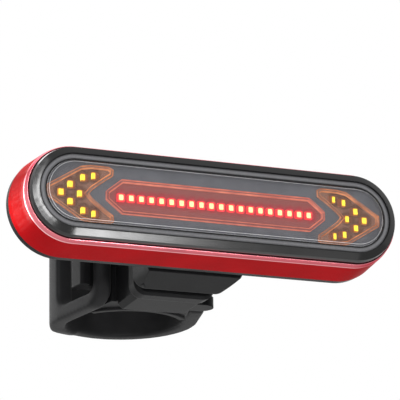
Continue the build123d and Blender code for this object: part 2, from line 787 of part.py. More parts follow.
# Rubber pad between the saddle and the post.
with BuildPart() as saddle_pad:
    with BuildSketch(Plane.XY.offset(-pad_half_height)):
        with BuildLine():
            pad_start = pad_middle - pad_sweep / 2
            outer_arc = CenterArc((0, 0), saddle_rear, pad_start, pad_sweep)
            inner_arc = CenterArc((0, 0), post_radius, pad_start, pad_sweep)
            Line(outer_arc @ 0, inner_arc @ 0)
            Line(outer_arc @ 1, inner_arc @ 1)
        make_face()
    extrude(amount=pad_half_height * 2)

# Strap: band round the post, loop with its window on the left, eye on the right.
strap_halves = []
far = strap_outer + strap_end_reach
lean_degrees = degrees(lean)
for half_name, half_side in (("loop", -1), ("eye", 1)):
    with BuildPart() as strap_half:
        with BuildSketch(Plane.XY.offset(-loop_half)):
            Circle(strap_outer)
            Circle(post_radius, mode=Mode.SUBTRACT)
            with BuildLine():
                edge = (far * cos(lean), -far * sin(lean))
                Polyline((0, 0), edge, (far, -far), (-far, -far), mirrored(edge), close=True)
            make_face(mode=Mode.SUBTRACT)
            for flank in (beside_strap, lambda along, out: mirrored(beside_strap(along, out))):
                run = (strap_end_distance ** 2 - strap_middle ** 2) ** (1 / 2)
                with BuildLine():
                    Polyline(flank(0, 0), flank(0, strap_thickness), flank(run, strap_thickness),
                             flank(run, 0), close=True)
                make_face()
                with Locations(flank(0, strap_thickness / 2)):
                    Circle(strap_thickness / 2)
            with Locations(eye_centre):
                Circle(eye_radius)
        extrude(amount=loop_half * 2)
        front_edge = -strap_end_reach - strap_thickness / 2
        if half_name == "loop":
            with BuildSketch(Plane.YZ.offset(-strap_split)) as loop_side:
                with BuildLine():
                    Polyline((front_edge, -loop_half), (loop_rear, -loop_half),
                             (loop_fade, -band_half), (strap_outer + overrun, -band_half),
                             (strap_outer + overrun, band_half), (loop_fade, band_half),
                             (loop_rear, loop_half), (front_edge, loop_half), close=True)
                make_face()
                fillet(loop_side.vertices().sort_by(Axis.X)[:2], loop_corner)
                with Locations((front_edge + loop_bar + window_length / 2, 0)):
                    RectangleRounded(window_length, window_half * 2, window_corner,
                                     mode=Mode.SUBTRACT)
            extrude(amount=-far, mode=Mode.INTERSECT)
        else:
            with BuildSketch(Plane.YZ.offset(-strap_split)):
                eye_front = eye_centre[1] - eye_radius
                eye_back = eye_centre[1] + eye_radius + ear_gap
                with BuildLine():
                    Polyline((eye_front, -eye_half), (eye_back, -eye_half),
                             (eye_back + eye_fade, -band_half),
                             (strap_outer + overrun, -band_half),
                             (strap_outer + overrun, band_half), (eye_back + eye_fade, band_half),
                             (eye_back, eye_half), (eye_front, eye_half), close=True)
                make_face()
            extrude(amount=far, mode=Mode.INTERSECT)
            with BuildSketch(Plane.XY.offset(-eye_half)):
                with Locations(eye_centre):
                    Circle(pin_radius + pin_gap)
            extrude(amount=eye_half * 2, mode=Mode.SUBTRACT)
    strap_halves.append(strap_half.part)

with BuildPart() as strap:
    add(strap_halves[0])
    add(strap_halves[1])

with BuildPart() as strap_pin:
    with BuildSketch(Plane.XY.offset(-pin_length / 2)):
        with Locations(eye_centre):
            Circle(pin_radius)
    extrude(amount=pin_length)

# Files.
pieces = {
    "trim_ring": trim_ring.part, "front_bezel": front_bezel.part, "front_lens": front_lens.part,
    "lens_seal": lens_seal.part, "lamp_mask": lamp_mask.part, "bar_guide": bar_guide.part,
    **arrow_guides, "lamp_board": lamp_board.part, **lamp_groups, "cover_seal": cover_seal.part,
    "rear_cover": rear_cover.part, "cover_screws": cover_screws.part, "battery": battery.part,
    "battery_foam": battery_foam.part, "radio_module": radio_module.part,
    "antenna": antenna.part, "charging_socket": charging_socket.part,
    "port_flap": port_flap.part, "power_button": power_button.part,
    "button_switch": button_switch.part, "receiver": receiver.part,
    "receiver_bolts": receiver_bolts.part, "receiver_nuts": receiver_nuts.part,
    "saddle": saddle.part, "saddle_pad": saddle_pad.part, "strap": strap.part,
    "strap_pin": strap_pin.part,
}
os.makedirs("parts", exist_ok=True)
for piece_name, piece in pieces.items():
    piece.label = piece_name
    export_step(piece, "parts/" + piece_name + ".step")
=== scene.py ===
from math import cos, pi, radians, sin

import bmesh
import bpy
from bpy.props import FloatProperty, FloatVectorProperty, PointerProperty
from mathutils import Matrix, Vector


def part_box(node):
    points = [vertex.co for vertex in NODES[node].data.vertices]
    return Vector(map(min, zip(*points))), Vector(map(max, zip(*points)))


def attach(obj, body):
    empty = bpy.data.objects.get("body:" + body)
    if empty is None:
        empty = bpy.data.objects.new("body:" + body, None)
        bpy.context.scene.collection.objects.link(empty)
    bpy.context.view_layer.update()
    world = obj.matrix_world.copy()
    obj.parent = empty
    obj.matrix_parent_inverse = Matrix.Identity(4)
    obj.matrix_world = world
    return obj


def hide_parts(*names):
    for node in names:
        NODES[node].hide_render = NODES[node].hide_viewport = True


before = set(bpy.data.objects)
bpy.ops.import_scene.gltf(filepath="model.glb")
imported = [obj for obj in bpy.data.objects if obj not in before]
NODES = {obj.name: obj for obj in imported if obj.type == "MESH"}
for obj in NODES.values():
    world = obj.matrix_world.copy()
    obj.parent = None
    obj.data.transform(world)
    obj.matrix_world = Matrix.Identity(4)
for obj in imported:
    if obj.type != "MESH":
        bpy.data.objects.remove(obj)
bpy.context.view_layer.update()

# Bicycle turn signal light on its bracket. Everything is in metres, in the CAD's frame: Z runs up
# the middle of the strap's ring, the light looks along -Y, and X is to the right.

bl_info = {
    "name": "Bicycle turn signal light",
    "version": (1, 0, 0),
    "blender": (4, 5, 0),
    "location": "3D View > Sidebar > Turn signal light",
    "description": "Dresses the light, its lamps and its rubber-strap bracket, and sets the stage",
    "category": "Object",
}

MM = 0.001

# The light's middle height and the half length of its straight part, from the CAD's ring.
RING_LOW, RING_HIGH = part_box("trim_ring")
LIGHT_Z = (RING_LOW.z + RING_HIGH.z) / 2
STRAIGHT_HALF = (RING_HIGH.x - RING_LOW.x) / 2 - (RING_HIGH.z - RING_LOW.z) / 2
BEZEL_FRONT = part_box("front_bezel")[0].y

# The front's forms, as in the CAD: the ring's bevel reaches this far back, the bead round the lens
# lies this far behind the bezel's crest, and it runs between these distances from the centre line.
RING_BEVEL_DEPTH = 1.9 * MM
BEAD_DEPTH = 0.3 * MM
BEAD_INNER, BEAD_OUTER = 7.7 * MM, 9.36 * MM

# The ring's bevel ends in a painted highlight, a near-white line, which fades in over a short way.
HIGHLIGHT_LINE_START = RING_LOW.y + RING_BEVEL_DEPTH - 0.28 * MM
HIGHLIGHT_LINE_FADE = 0.15 * MM

# Edges of the moulded pieces: their radii, and the widths of the edges that are cut.
BEZEL_EDGE_SHARE = 0.4              # of the housing's edge radius, where the bezel meets the bead
LENS_EDGE = 0.14 * MM
MASK_EDGE = 0.06 * MM
RECEIVER_EDGE = 0.35 * MM
SADDLE_EDGE = 0.3 * MM
PAD_EDGE = 0.25 * MM
FLAP_EDGE = 0.15 * MM
BUTTON_EDGE = 0.2 * MM
NYLON_SHADED_EDGE = 0.4 * MM        # drawn in the shading, over the bracket's modelled edges
STRAP_GRID = 0.35 * MM
SMOOTHING_PER_GRID = 4              # smoothing steps for an edge one grid step wide
SOFT_EDGE_ANGLE = 35                # a rubber piece is rounded where it turns by more degrees
FLAT_ANGLE = 0.5                    # faces that turn by less are joined
WELD = 0.001 * MM                   # points this near are one
FACE_SLACK = 0.02 * MM              # how far a face may stand past the range that it is sought in

# Sizes of the patterns. The real grain of a blasted, spark-eroded, rubber or plated surface is
# 0.05 to 0.1 mm, too fine to show in the render, so it is drawn coarser. The clouds are the slow
# drift of colour across a surface.
BLAST_GRAIN, BLAST_CLOUDS = 0.25 * MM, 9.0 * MM
GLOSS_CLOUDS, GLOSS_WAVES = 6.0 * MM, 3.0 * MM
LENS_CLOUDS = 8.0 * MM
NYLON_GRAIN, MASK_GRAIN, NYLON_CLOUDS = 0.22 * MM, 0.3 * MM, 7.0 * MM
RUBBER_GRAIN, RUBBER_CLOUDS = 0.3 * MM, 5.0 * MM
PLATING_GRAIN, FOIL_GRAIN, PLATING_CLOUDS = 0.15 * MM, 0.4 * MM, 2.0 * MM
FOAM_CELLS = 0.6 * MM
GUIDE_CLOUDS, CUT_EDGE_CLOUDS = 0.8 * MM, 2.5 * MM
TRACK_LENGTH, TRACK_HEIGHT, TRACK_GAP = 2.63 * MM, 1.3 * MM, 0.12 * MM
FLOOR_CLOUDS = 40 * MM
NOISE_LOW, NOISE_HIGH = 0.3, 0.7    # nearly all of a noise lies between these

# Indexes of refraction.
ABS_IOR, POLYCARBONATE_IOR, ACRYLIC_IOR, NYLON_IOR, SILICONE_IOR = 1.53, 1.585, 1.49, 1.52, 1.43

# Where the lamps sit. An arrow's lamps are shares of its length from the tail and of its half
# height, as in the CAD.
RED_COUNT = 20
AMBER_SHARES = ((0.775, 0.0), (0.639, 0.30), (0.456, 0.575), (0.302, 0.66), (0.503, 0.0),
                (0.639, -0.30), (0.456, -0.575), (0.302, -0.66))
WINDOW_NARROWING = 1.2              # a lamp's lit window is this much narrower than it is tall
WINDOW_CORNER = 0.45 * MM           # how round its corners are
WINDOW_CORE, WINDOW_RIM = 0.6 * MM, 0.95 * MM     # its colours run from core to rim between these
GLOW_START = 0.9 * MM               # a guide glows fully this near to a lamp's middle
LAMP_STRENGTH, GUIDE_STRENGTH, CUT_EDGE_STRENGTH = 2.4, 2.2, 1.1
LENS_SOLID, LENS_HIGHLIGHT_SOLID, GUIDE_SOLID = 0.2, 0.95, 0.15     # how little shows through

# Lit colours: a lamp's core and rim, the guide near a lamp and far from it, and its cut edges
# where they are bright and dim. The lamp's own colour between core and rim is a setting.
RED_LIT = ("#FFF2A0", "#D00818", "#F0303A", "#AE544A", "#CC7458", "#AA5440")
AMBER_LIT = ("#FFF53A", "#4A1E06", "#8A4A14", "#A8745A", "#C87C48", "#8A4A20")

# The photograph's view: the camera looks up at the light from its left.
VIEW_YAW, VIEW_PITCH, VIEW_ROLL = 22.0, 17.2, -1.3
VIEW_TARGET = Vector((0.0, -0.069, 0.002))
FOCAL_PIXELS = 2361.6
SENSOR_MM = 36.0
IMAGE_PIXELS = 400
SHIFT_PIXELS = (-16.6, 6.4)

FLOOR_HALF, FLOOR_CELLS = 2.4, 8
FLOOR_PALENESS = 0.5                # share of plain white in what is seen of the floor
WORLD_STRENGTH = 0.35

# Two softboxes on the left, in front and behind, are bent rows of panels that are dim at both
# ends. They have a width in metres, and each panel a place, a height in metres and a radiance.
LIGHT_MIDDLE = (0, -0.06, 0)
FRONT_WIDTH = 0.083
FRONT_PANELS = (((-0.31, -0.58, 0.72), 0.2, 3), ((-0.38, -0.63, 0.57), 0.13, 8),
                ((-0.43, -0.67, 0.45), 0.13, 14), ((-0.48, -0.71, 0.335), 0.13, 20),
                ((-0.515, -0.74, 0.16), 0.25, 26), ((-0.49, -0.79, -0.03), 0.15, 28),
                ((-0.43, -0.81, -0.145), 0.09, 32), ((-0.365, -0.79, -0.215), 0.07, 36),
                ((-0.29, -0.75, -0.265), 0.06, 36), ((-0.21, -0.70, -0.31), 0.05, 18))
BACK_WIDTH = 0.09
BACK_PANELS = (((-0.33, 0.8, 0.5), 0.07, 3), ((-0.41, 0.8, 0.46), 0.07, 6),
               ((-0.49, 0.8, 0.405), 0.08, 8), ((-0.56, 0.8, 0.335), 0.08, 11),
               ((-0.62, 0.8, 0.245), 0.11, 12), ((-0.675, 0.8, 0.1), 0.18, 12),
               ((-0.69, 0.8, -0.085), 0.19, 12), ((-0.65, 0.8, -0.235), 0.11, 10),
               ((-0.605, 0.8, -0.32), 0.06, 6))
# A low softbox in front is a row of strips that fade to the right. They share Y, Z and a height,
# and look to the left and up at the bezel's lower edge. Each has its X, a width and its watts.
STRIP_Y, STRIP_Z, STRIP_HEIGHT = -0.337, -0.22, 0.07
STRIP_LEAN, LOW_EDGE_Y, LOW_EDGE_Z = 0.105, -0.071, -0.008
LOW_STRIPS = ((0.0545, 0.004, 0.012), (0.0695, 0.026, 0.155), (0.0875, 0.01, 0.044),
              (0.0985, 0.012, 0.034), (0.1125, 0.016, 0.016), (0.1305, 0.02, 0.005),
              (0.155, 0.029, 0.002), (0.1845, 0.03, 0.007))
# Square softboxes: name, place, what they look at, side in metres and watts.
SOFTBOXES = (("under_softbox", (0.105, -0.04, -0.31), (0, -0.03, -0.03), 0.1, 0.2),
             ("top_back_softbox", (0.1, 0.8, 0.95), LIGHT_MIDDLE, 0.8, 6.5))


def linear(code):
    """sRGB hex colour as linear red, green, blue and 1."""
    parts = [int(code[i:i + 2], 16) / 255 for i in (1, 3, 5)]
    return (*(c / 12.92 if c <= 0.04045 else ((c + 0.055) / 1.055) ** 2.4 for c in parts), 1.0)


def shade(colour, factor):
    """A linear colour made darker or lighter."""
    return (*(min(1.0, c * factor) for c in colour[:3]), 1.0)


def colour_setting(label, text, code):
    return FloatVectorProperty(name=label, description=text, default=linear(code), size=4,
                               subtype="COLOR", min=0, max=1)


def length_setting(label, text, default, low, high):
    return FloatProperty(name=label, description=text, default=default, min=low, max=high,
                         unit="LENGTH")


class HousingSettings(bpy.types.PropertyGroup):
    ring_colour: colour_setting("Ring", "Dye of the anodised ring", "#B8041E")
    # The bevel's pale pink is painted light: a lit copy of the ring's red, for a face turned to
    # the lamps.
    bevel_painted_light_colour: colour_setting("Ring's bevel", "Colour of the bevel cut after dyeing", "#E4828C")
    bead_colour: colour_setting("Bead", "Colour of the satin bead round the lens", "#6A6A6D")
    shell_colour: colour_setting("Shell", "Colour of the bezel and the rear cover", "#0A0A0B")
    lens_colour: colour_setting("Lens", "Tint of the smoked lens", "#545458")
    edge_round: length_setting("Edge round", "Radius of the moulded edges", 0.12 * MM, 0.0,
                               0.5 * MM)


class LampSettings(bpy.types.PropertyGroup):
    red_colour: colour_setting("Red", "Light of the middle bar's lamps", "#FF5040")
    amber_colour: colour_setting("Amber", "Light of the two arrows' lamps", "#D09008")
    edge_width: length_setting("Glowing edge", "Width of the guides' bright edges", 0.16 * MM,
                               0.02 * MM, 0.3 * MM)
    glow_reach: length_setting("Glow reach", "How far the glow spreads from a lamp", 2.3 * MM,
                               1.0 * MM, 6.0 * MM)


class BracketSettings(bpy.types.PropertyGroup):
    plastic_colour: colour_setting("Plastic", "Colour of the receiver and the saddle", "#131314")
    rubber_colour: colour_setting("Rubber", "Colour of the strap and the pad", "#171718")
    strap_round: length_setting("Strap edge", "Radius of the strap's moulded edges", 1.1 * MM,
                                0.1 * MM, 1.5 * MM)


class StageSettings(bpy.types.PropertyGroup):
    floor_colour: colour_setting("Floor colour", "Colour of the floor", "#E8E8E6")
    floor_drop: length_setting("Floor height", "Height of the floor, from the strap's middle",
                               -0.36, -2.0, -0.05)
    distance: length_setting("Camera distance", "From the camera to the light", 0.583, 0.2, 3.0)


# Materials.

def add_node(tree, kind, settings=None, links=None):
    """Adds a node and sets its properties, input sockets or colour stops. Links come from sockets,
    or from the first socket of a node."""
    node = tree.nodes.new(kind)
    for key, value in (settings or {}).items():
        if key == "stops":
            for index, (place, colour) in enumerate(value):
                elements = node.color_ramp.elements
                element = elements[index] if index < 2 else elements.new(place)
                element.position = place
                element.color = linear(colour) if isinstance(colour, str) else colour
        elif isinstance(key, str) and hasattr(node, key):
            setattr(node, key, value)
        else:
            node.inputs[key].default_value = value
    for key, source in (links or {}).items():
        if isinstance(source, bpy.types.Node):
            source = source.outputs[0]
        tree.links.new(source, node.inputs[key])
    return node


def new_material(name):
    material = bpy.data.materials.new(name)
    material.use_nodes = True
    material.node_tree.nodes.clear()
    return material, material.node_tree


def end_material(tree, settings, links):
    """Ends a material in one principled shader."""
    shader = add_node(tree, "ShaderNodeBsdfPrincipled", settings, links)
    add_node(tree, "ShaderNodeOutputMaterial", links={"Surface": shader})


def grain(tree, size, detail=3.0):
    """Noise that is fixed to the piece, whose grains are size across."""
    point = add_node(tree, "ShaderNodeTexCoord").outputs["Object"]
    return add_node(tree, "ShaderNodeTexNoise",
                    {"Scale": 1.0 / size, "Detail": detail, "Roughness": 0.55},
                    {"Vector": point})


def clouded(tree, noise, colour, dark, light):
    """The colour, drifting with the noise from a darker to a lighter shade of it."""
    stops = [(NOISE_LOW, shade(colour, dark)), (NOISE_HIGH, shade(colour, light))]
    return add_node(tree, "ShaderNodeValToRGB", {"stops": stops}, {"Fac": noise})


def varied(tree, noise, low, high):
    """A roughness that varies with the noise between low and high."""
    return add_node(tree, "ShaderNodeMapRange",
                    {"From Min": NOISE_LOW, "From Max": NOISE_HIGH, "To Min": low,
                     "To Max": high}, {"Value": noise})


def piece_axes(tree):
    """X, Y and Z on the piece."""
    point = add_node(tree, "ShaderNodeTexCoord").outputs["Object"]
    return add_node(tree, "ShaderNodeSeparateXYZ", links={"Vector": point}).outputs


def face_distance(tree, side, height):
    """Length of a step in the light's face."""
    step = add_node(tree, "ShaderNodeCombineXYZ", links={"X": side, "Z": height})
    return add_node(tree, "ShaderNodeVectorMath", {"operation": "LENGTH"},
                    {0: step}).outputs["Value"]


def window_distance(tree, side, height):
    """Distance to the sides of an upright rectangle, so that a lamp's window comes out as one."""
    side = add_node(tree, "ShaderNodeMath", {"operation": "ABSOLUTE"}, {0: side})
    side = add_node(tree, "ShaderNodeMath", {"operation": "MULTIPLY", 1: WINDOW_NARROWING},
                    {0: side})
    height = add_node(tree, "ShaderNodeMath", {"operation": "ABSOLUTE"}, {0: height})
    return add_node(tree, "ShaderNodeMath", {"operation": "SMOOTH_MAX", 2: WINDOW_CORNER},
                    {0: side, 1: height})


def pill_radius(tree):
    """Distance from the light's centre line in its face, rounded at the ends as the light is."""
    axes = piece_axes(tree)
    side = add_node(tree, "ShaderNodeMath", {"operation": "ABSOLUTE"}, {0: axes["X"]})
    beyond = add_node(tree, "ShaderNodeMath", {"operation": "SUBTRACT", 1: STRAIGHT_HALF},
                      {0: side})
    beyond = add_node(tree, "ShaderNodeMath", {"operation": "MAXIMUM", 1: 0.0}, {0: beyond})
    height = add_node(tree, "ShaderNodeMath", {"operation": "SUBTRACT", 1: LIGHT_Z},
                      {0: axes["Z"]})
    return face_distance(tree, beyond, height)


def lamp_distance(tree, places, measure):
    """What measure makes of the way to the nearest lamp's middle, in the light's face."""
    axes = piece_axes(tree)
    nearest = None
    for x, z in places:
        side = add_node(tree, "ShaderNodeMath", {"operation": "SUBTRACT", 1: x}, {0: axes["X"]})
        height = add_node(tree, "ShaderNodeMath", {"operation": "SUBTRACT", 1: z},
                          {0: axes["Z"]})
        reach = measure(tree, side, height)
        if nearest is None:
            nearest = reach
        else:
            nearest = add_node(tree, "ShaderNodeMath", {"operation": "MINIMUM"},
                               {0: nearest, 1: reach})
    return nearest


def seen_directly(tree):
    """1 for what the camera sees, straight, through glass or mirrored, and 0 for other light."""
    path = add_node(tree, "ShaderNodeLightPath").outputs
    seen = add_node(tree, "ShaderNodeMath", {"operation": "MAXIMUM"},
                    {0: path["Is Camera Ray"], 1: path["Is Transmission Ray"]})
    return add_node(tree, "ShaderNodeMath", {"operation": "MAXIMUM"},
                    {0: seen, 1: path["Is Glossy Ray"]})


def anodised_aluminium(name, colour, glancing, coat, smooth, rough, painted_highlight_line=False):
    """Dyed anodised aluminium: deep and metallic where blasted, smoother where cut. A cut bevel's
    paler colour is painted light for a face turned to the lamps, and may carry a painted
    highlight, a near-white line where the cut begins."""
    material, tree = new_material(name)
    blast = grain(tree, BLAST_GRAIN, detail=4.0)
    tone = clouded(tree, grain(tree, BLAST_CLOUDS, detail=2.0), colour, 0.9, 1.05)
    if painted_highlight_line:
        # The near white mixed in here is a painted highlight along the bevel's edge.
        highlight_share = add_node(tree, "ShaderNodeMapRange",
                        {"From Min": HIGHLIGHT_LINE_START - HIGHLIGHT_LINE_FADE, "From Max": HIGHLIGHT_LINE_START},
                        {"Value": piece_axes(tree)["Y"]})
        # A colour mix has its factor in socket 0, its two colours in 6 and 7, and gives 2.
        tone = add_node(tree, "ShaderNodeMix", {"data_type": "RGBA", 7: linear("#FFD0D4")},
                        {0: highlight_share, 6: tone}).outputs[2]
    bump = add_node(tree, "ShaderNodeBump", {"Strength": 0.08, "Distance": 0.02 * MM},
                    {"Height": blast})
    end_material(tree, {"Metallic": 1.0, "Specular Tint": glancing, "Coat Weight": coat,
                        "Coat Roughness": 0.12},
                 {"Base Color": tone, "Roughness": varied(tree, blast, smooth, rough),
                  "Normal": bump})
    return material


def abs_high_gloss(name, colour, smooth=0.13, rough=0.17, shine=0.34):
    """High gloss moulded ABS: near black, with clear reflections and faint handling haze."""
    material, tree = new_material(name)
    haze = grain(tree, GLOSS_CLOUDS, detail=5.0)
    bump = add_node(tree, "ShaderNodeBump", {"Strength": 0.02, "Distance": 0.02 * MM},
                    {"Height": grain(tree, GLOSS_WAVES, detail=1.0)})
    end_material(tree, {"IOR": ABS_IOR, "Specular IOR Level": shine},
                 {"Base Color": clouded(tree, haze, colour, 0.9, 1.15),
                  "Roughness": varied(tree, haze, smooth, rough), "Normal": bump})
    return material


def abs_moulded_bead(colour):
    """The bead round the lens: satin, grey on its crown, with painted shade darkening its flanks
    and black painted shade in the grooves beside it.
    """
    material, tree = new_material("abs_moulded_bead")
    across = add_node(tree, "ShaderNodeMapRange", {"From Min": BEAD_INNER, "From Max": BEAD_OUTER},
                      {"Value": pill_radius(tree)})
    # The colour across the bead is painted light: shade darkens its flanks and the grooves are
    # painted black shade.
    groove_shade, flank = "#060607", "#BCBCBC"
    tone = add_node(tree, "ShaderNodeValToRGB",
                    {"stops": [(0.0, groove_shade), (0.16, groove_shade), (0.3, shade(colour, 0.75)),
                               (0.55, colour), (0.78, shade(colour, 0.6)), (0.9, groove_shade)]},
                    {"Fac": across})
    crown = add_node(tree, "ShaderNodeValToRGB",
                     {"stops": [(0.1, "#000000"), (0.3, flank), (0.5, "#FFFFFF"), (0.72, flank),
                                (0.92, "#000000")]}, {"Fac": across})
    bump = add_node(tree, "ShaderNodeBump", {"Strength": 0.7, "Distance": 0.35 * MM},
                    {"Height": crown})
    satin = varied(tree, grain(tree, BLAST_GRAIN, detail=4.0), 0.22, 0.34)
    end_material(tree, {"IOR": ABS_IOR, "Specular IOR Level": 0.3},
                 {"Base Color": tone, "Roughness": satin, "Normal": bump})
    return material


def polycarbonate_smoked(name, colour, solid, smooth=0.06):
    """Clear smoked polycarbonate: lets the lamps through, with a grey veil and a glossy face."""
    material, tree = new_material(name)
    haze = grain(tree, LENS_CLOUDS)
    end_material(tree, {"IOR": POLYCARBONATE_IOR, "Alpha": solid},
                 {"Base Color": clouded(tree, haze, colour, 0.93, 1.07),
                  "Roughness": varied(tree, haze, smooth, smooth * 1.6)})
    return material


def nylon_spark_textured(name, colour, size=NYLON_GRAIN):
    """Glass-filled nylon moulded in a spark-eroded tool: matt, with a fine pebbled texture, and
    edges that catch the light as rounded ones do."""
    material, tree = new_material(name)
    pebble = grain(tree, size)
    edges = add_node(tree, "ShaderNodeBevel", {"samples": 8, "Radius": NYLON_SHADED_EDGE})
    bump = add_node(tree, "ShaderNodeBump", {"Strength": 0.3, "Distance": 0.03 * MM},
                    {"Height": pebble, "Normal": edges})
    end_material(tree, {"IOR": NYLON_IOR, "Specular IOR Level": 0.05},
                 {"Base Color": clouded(tree, grain(tree, NYLON_CLOUDS), colour, 0.85, 1.2),
                  "Roughness": varied(tree, pebble, 0.32, 0.44), "Normal": bump})
    return material


def silicone_rubber_moulded(name, colour):
    """Moulded silicone rubber: soft sheen, very fine surface and a little dust in the grain."""
    material, tree = new_material(name)
    fine = grain(tree, RUBBER_GRAIN, detail=4.0)
    bump = add_node(tree, "ShaderNodeBump", {"Strength": 0.18, "Distance": 0.03 * MM},
                    {"Height": fine})
    end_material(tree, {"IOR": SILICONE_IOR, "Specular IOR Level": 0.12, "Sheen Weight": 0.03,
                        "Sheen Roughness": 0.5},
                 {"Base Color": clouded(tree, grain(tree, RUBBER_CLOUDS), colour, 0.85, 1.25),
                  "Roughness": varied(tree, fine, 0.46, 0.62), "Normal": bump})
    return material


def plated_metal(name, code, size=PLATING_GRAIN):
    """Plated steel or rolled foil: bright grey metal with a slightly uneven surface."""
    material, tree = new_material(name)
    clouds = grain(tree, PLATING_CLOUDS)
    fine = grain(tree, size, detail=4.0)
    end_material(tree, {"Metallic": 1.0},
                 {"Base Color": clouded(tree, clouds, linear(code), 0.85, 1.0),
                  "Roughness": varied(tree, fine, 0.25, 0.4)})
    return material


def foam_closed_cell():
    """Closed-cell foam: dark grey with open pores."""
    material, tree = new_material("foam_closed_cell")
    point = add_node(tree, "ShaderNodeTexCoord").outputs["Object"]
    cells = add_node(tree, "ShaderNodeTexVoronoi", {"Scale": 1.0 / FOAM_CELLS},
                     {"Vector": point})
    tone = add_node(tree, "ShaderNodeValToRGB", {"stops": [(0.0, "#1C1C1D"), (0.6, "#3A3A3B")]},
                    {"Fac": cells})
    bump = add_node(tree, "ShaderNodeBump", {"Strength": 0.6, "Distance": 0.2 * MM},
                    {"Height": cells})
    end_material(tree, {"Roughness": 0.9}, {"Base Color": tone, "Normal": bump})
    return material


def soldermask_board():
    """Glass fibre board under matt soldermask, with the tracks that show through it."""
    material, tree = new_material("soldermask_board")
    point = add_node(tree, "ShaderNodeTexCoord").outputs["Object"]
    tracks = add_node(tree, "ShaderNodeTexBrick",
                      {"Scale": 1.0, "Brick Width": TRACK_LENGTH, "Row Height": TRACK_HEIGHT,
                       "Mortar Size": TRACK_GAP, "Color1": linear("#2A2B2C"),
                       "Color2": linear("#303133"), "Mortar": linear("#3B3634")},
                      {"Vector": point})
    end_material(tree, {"Roughness": 0.45}, {"Base Color": tracks})
    return material


def lamp_package(name, places, core, colour, rim):
    """Moulded lamp package, lit: a pale core that fades through the lamp's colour to its rim."""
    material, tree = new_material(name)
    reach = add_node(tree, "ShaderNodeMapRange", {"From Min": WINDOW_CORE, "From Max": WINDOW_RIM},
                     {"Value": lamp_distance(tree, places, window_distance)})
    glow = add_node(tree, "ShaderNodeValToRGB",
                    {"stops": [(0.0, core), (0.4, colour), (1.0, rim)]}, {"Fac": reach})
    end_material(tree, {"Roughness": 0.35, "Emission Strength": LAMP_STRENGTH},
                 {"Base Color": glow, "Emission Color": glow})
    return material


def lit_guide(name, places, near, far, glow_reach):
    """Clear light guide with a moulded matt face: lets the lamps through and glows round them."""
    material, tree = new_material(name)
    spread = add_node(tree, "ShaderNodeMapRange",
                      {"From Min": GLOW_START, "From Max": glow_reach, "To Min": 1.0,
                       "To Max": 0.0}, {"Value": lamp_distance(tree, places, face_distance)})
    glow = add_node(tree, "ShaderNodeValToRGB",
                    {"stops": [(0.0, far), (0.5, shade(linear(near), 0.6)), (1.0, near)]},
                    {"Fac": spread})
    end_material(tree, {"IOR": ACRYLIC_IOR, "Alpha": GUIDE_SOLID,
                        "Emission Strength": GUIDE_STRENGTH},
                 {"Base Color": glow, "Emission Color": glow,
                  "Roughness": varied(tree, grain(tree, GUIDE_CLOUDS), 0.3, 0.45)})
    return material


def glowing_edge(name, bright, dim):
    """Cut edge of a light guide, where its light comes out in a thin bright line."""
    material, tree = new_material(name)
    glow = add_node(tree, "ShaderNodeValToRGB", {"stops": [(0.35, dim), (0.65, bright)]},
                    {"Fac": grain(tree, CUT_EDGE_CLOUDS)})
    end_material(tree, {"Roughness": 0.3, "IOR": ACRYLIC_IOR,
                        "Emission Strength": CUT_EDGE_STRENGTH},
                 {"Base Color": glow, "Emission Color": glow})
    return material


# Lamps, meshes and modifiers.

def red_places():
    low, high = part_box("red_lamps")
    side = high.z - low.z
    pitch = (high.x - low.x - side) / (RED_COUNT - 1)
    return [(low.x + side / 2 + pitch * i, LIGHT_Z) for i in range(RED_COUNT)]


def amber_places(guide, direction):
    """Middles of an arrow's lamps, for an arrow that points to -X or +X."""
    low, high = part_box(guide)
    tail = low.x if direction > 0 else high.x
    length, half = high.x - low.x, (high.z - low.z) / 2
    return [(tail + direction * length * a, LIGHT_Z + half * h) for a, h in AMBER_SHARES]


def dress(name, *materials):
    """Gives a CAD node its materials and smooth shading."""
    node = NODES[name]
    node.data.materials.clear()
    for material in materials:
        node.data.materials.append(material)
    for polygon in node.data.polygons:
        polygon.use_smooth = True
        polygon.material_index = 0
    weld = node.modifiers.new("weld", "WELD")
    weld.merge_threshold = WELD
    return node


def part_dress(name, material, second, front, back):
    """Dresses a node, and gives the faces that lie wholly between two depths a second material."""
    node = dress(name, material, second)
    points = [vertex.co.y for vertex in node.data.vertices]
    for polygon in node.data.polygons:
        depths = [points[index] for index in polygon.vertices]
        if min(depths) > front - FACE_SLACK and max(depths) < back + FACE_SLACK:
            polygon.material_index = 1
    return node


def soften(node, width, segments=2, edge_material=-1, angle=30):
    """Rounds a piece's edges, or cuts them and gives them their own material."""
    bevel = node.modifiers.new("edges", "BEVEL")
    bevel.width = width
    bevel.segments = segments
    bevel.angle_limit = radians(angle)
    bevel.material = edge_material
    flat = node.modifiers.new("flat_faces", "WEIGHTED_NORMAL")
    flat.mode = "FACE_AREA_WITH_ANGLE"


def crisp(node, angle=28):
    """Keeps a piece's edges sharp."""
    split = node.modifiers.new("crisp", "EDGE_SPLIT")
    split.split_angle = radians(angle)


def mould(piece, width, grid):
    """Rebuilds a soft piece on an even grid and draws its edges round, by about width."""
    even = piece.modifiers.new("even_grid", "REMESH")
    even.voxel_size = grid
    even.use_smooth_shade = True
    soft = piece.modifiers.new("soft_edges", "SMOOTH")
    soft.iterations = round(SMOOTHING_PER_GRID * (width / grid) ** 2)


